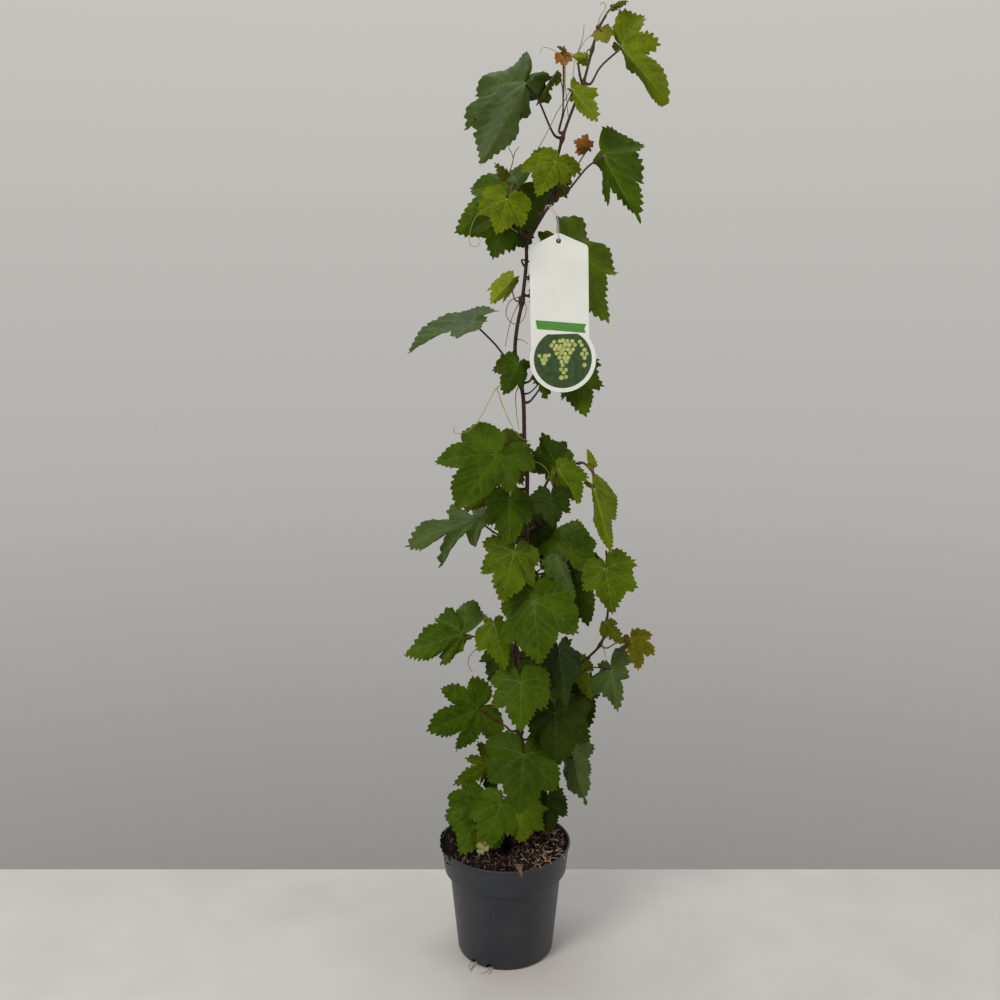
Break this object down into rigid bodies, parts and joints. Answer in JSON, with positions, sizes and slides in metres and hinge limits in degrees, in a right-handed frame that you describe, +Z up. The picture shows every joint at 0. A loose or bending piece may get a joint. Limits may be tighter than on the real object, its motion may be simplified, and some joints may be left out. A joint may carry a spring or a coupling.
{
  "type": "potted grapevine",
  "caption": "Young grapevine trained as one slender upright stem with lobed leaves, in a dark round nursery pot of potting mix, with a blank hanging card.",
  "frame": {"origin": "centre of the flat underside of the pot", "axes": "+Z up along the plant, -Y towards the viewer of the picture, +X to the viewer's right"},
  "size_m": [0.3121, 0.1782, 1.1748],
  "materials": {
    "pot_plastic": "satin",
    "potting_mix": "loose bark chips",
    "bark": "matt, finely ridged",
    "leaves": "satin, veined",
    "card": "smooth",
    "string": "twisted"
  },
  "bodies": {
    "root": {"pot": "pot_plastic", "potting_mix": "potting_mix", "main_stem": "bark", "shoot_lower_right": "bark", "shoot_middle_right": "bark", "hanging_card": "card", "card_string": "string", "foliage_01": "leaves", "foliage_02": "leaves", "foliage_03": "leaves", "foliage_04": "leaves", "foliage_05": "leaves", "foliage_06": "leaves", "foliage_07": "leaves", "foliage_08": "leaves", "foliage_09": "leaves", "foliage_10": "leaves", "foliage_11": "leaves", "foliage_12": "leaves", "foliage_13": "leaves", "foliage_14": "leaves", "foliage_15": "leaves", "foliage_16": "leaves", "foliage_17": "leaves", "foliage_18": "leaves", "foliage_19": "leaves", "foliage_20": "leaves", "foliage_21": "leaves", "foliage_22": "leaves", "foliage_23": "leaves", "foliage_24": "leaves", "foliage_25": "leaves", "foliage_26": "leaves", "foliage_27": "leaves", "foliage_28": "leaves", "foliage_29": "leaves", "foliage_30": "leaves", "foliage_31": "leaves", "foliage_32": "leaves", "foliage_33": "leaves", "foliage_34": "leaves", "foliage_35": "leaves", "foliage_36": "leaves", "foliage_37": "leaves", "foliage_38": "leaves", "foliage_39": "leaves", "foliage_40": "leaves", "foliage_41": "leaves", "foliage_42": "leaves", "foliage_43": "leaves", "foliage_44": "leaves", "foliage_45": "leaves", "foliage_46": "leaves", "foliage_47": "leaves", "foliage_48": "leaves", "foliage_49": "leaves", "foliage_50": "leaves", "foliage_51": "leaves", "foliage_52": "leaves"}
  },
  "joints": []
}
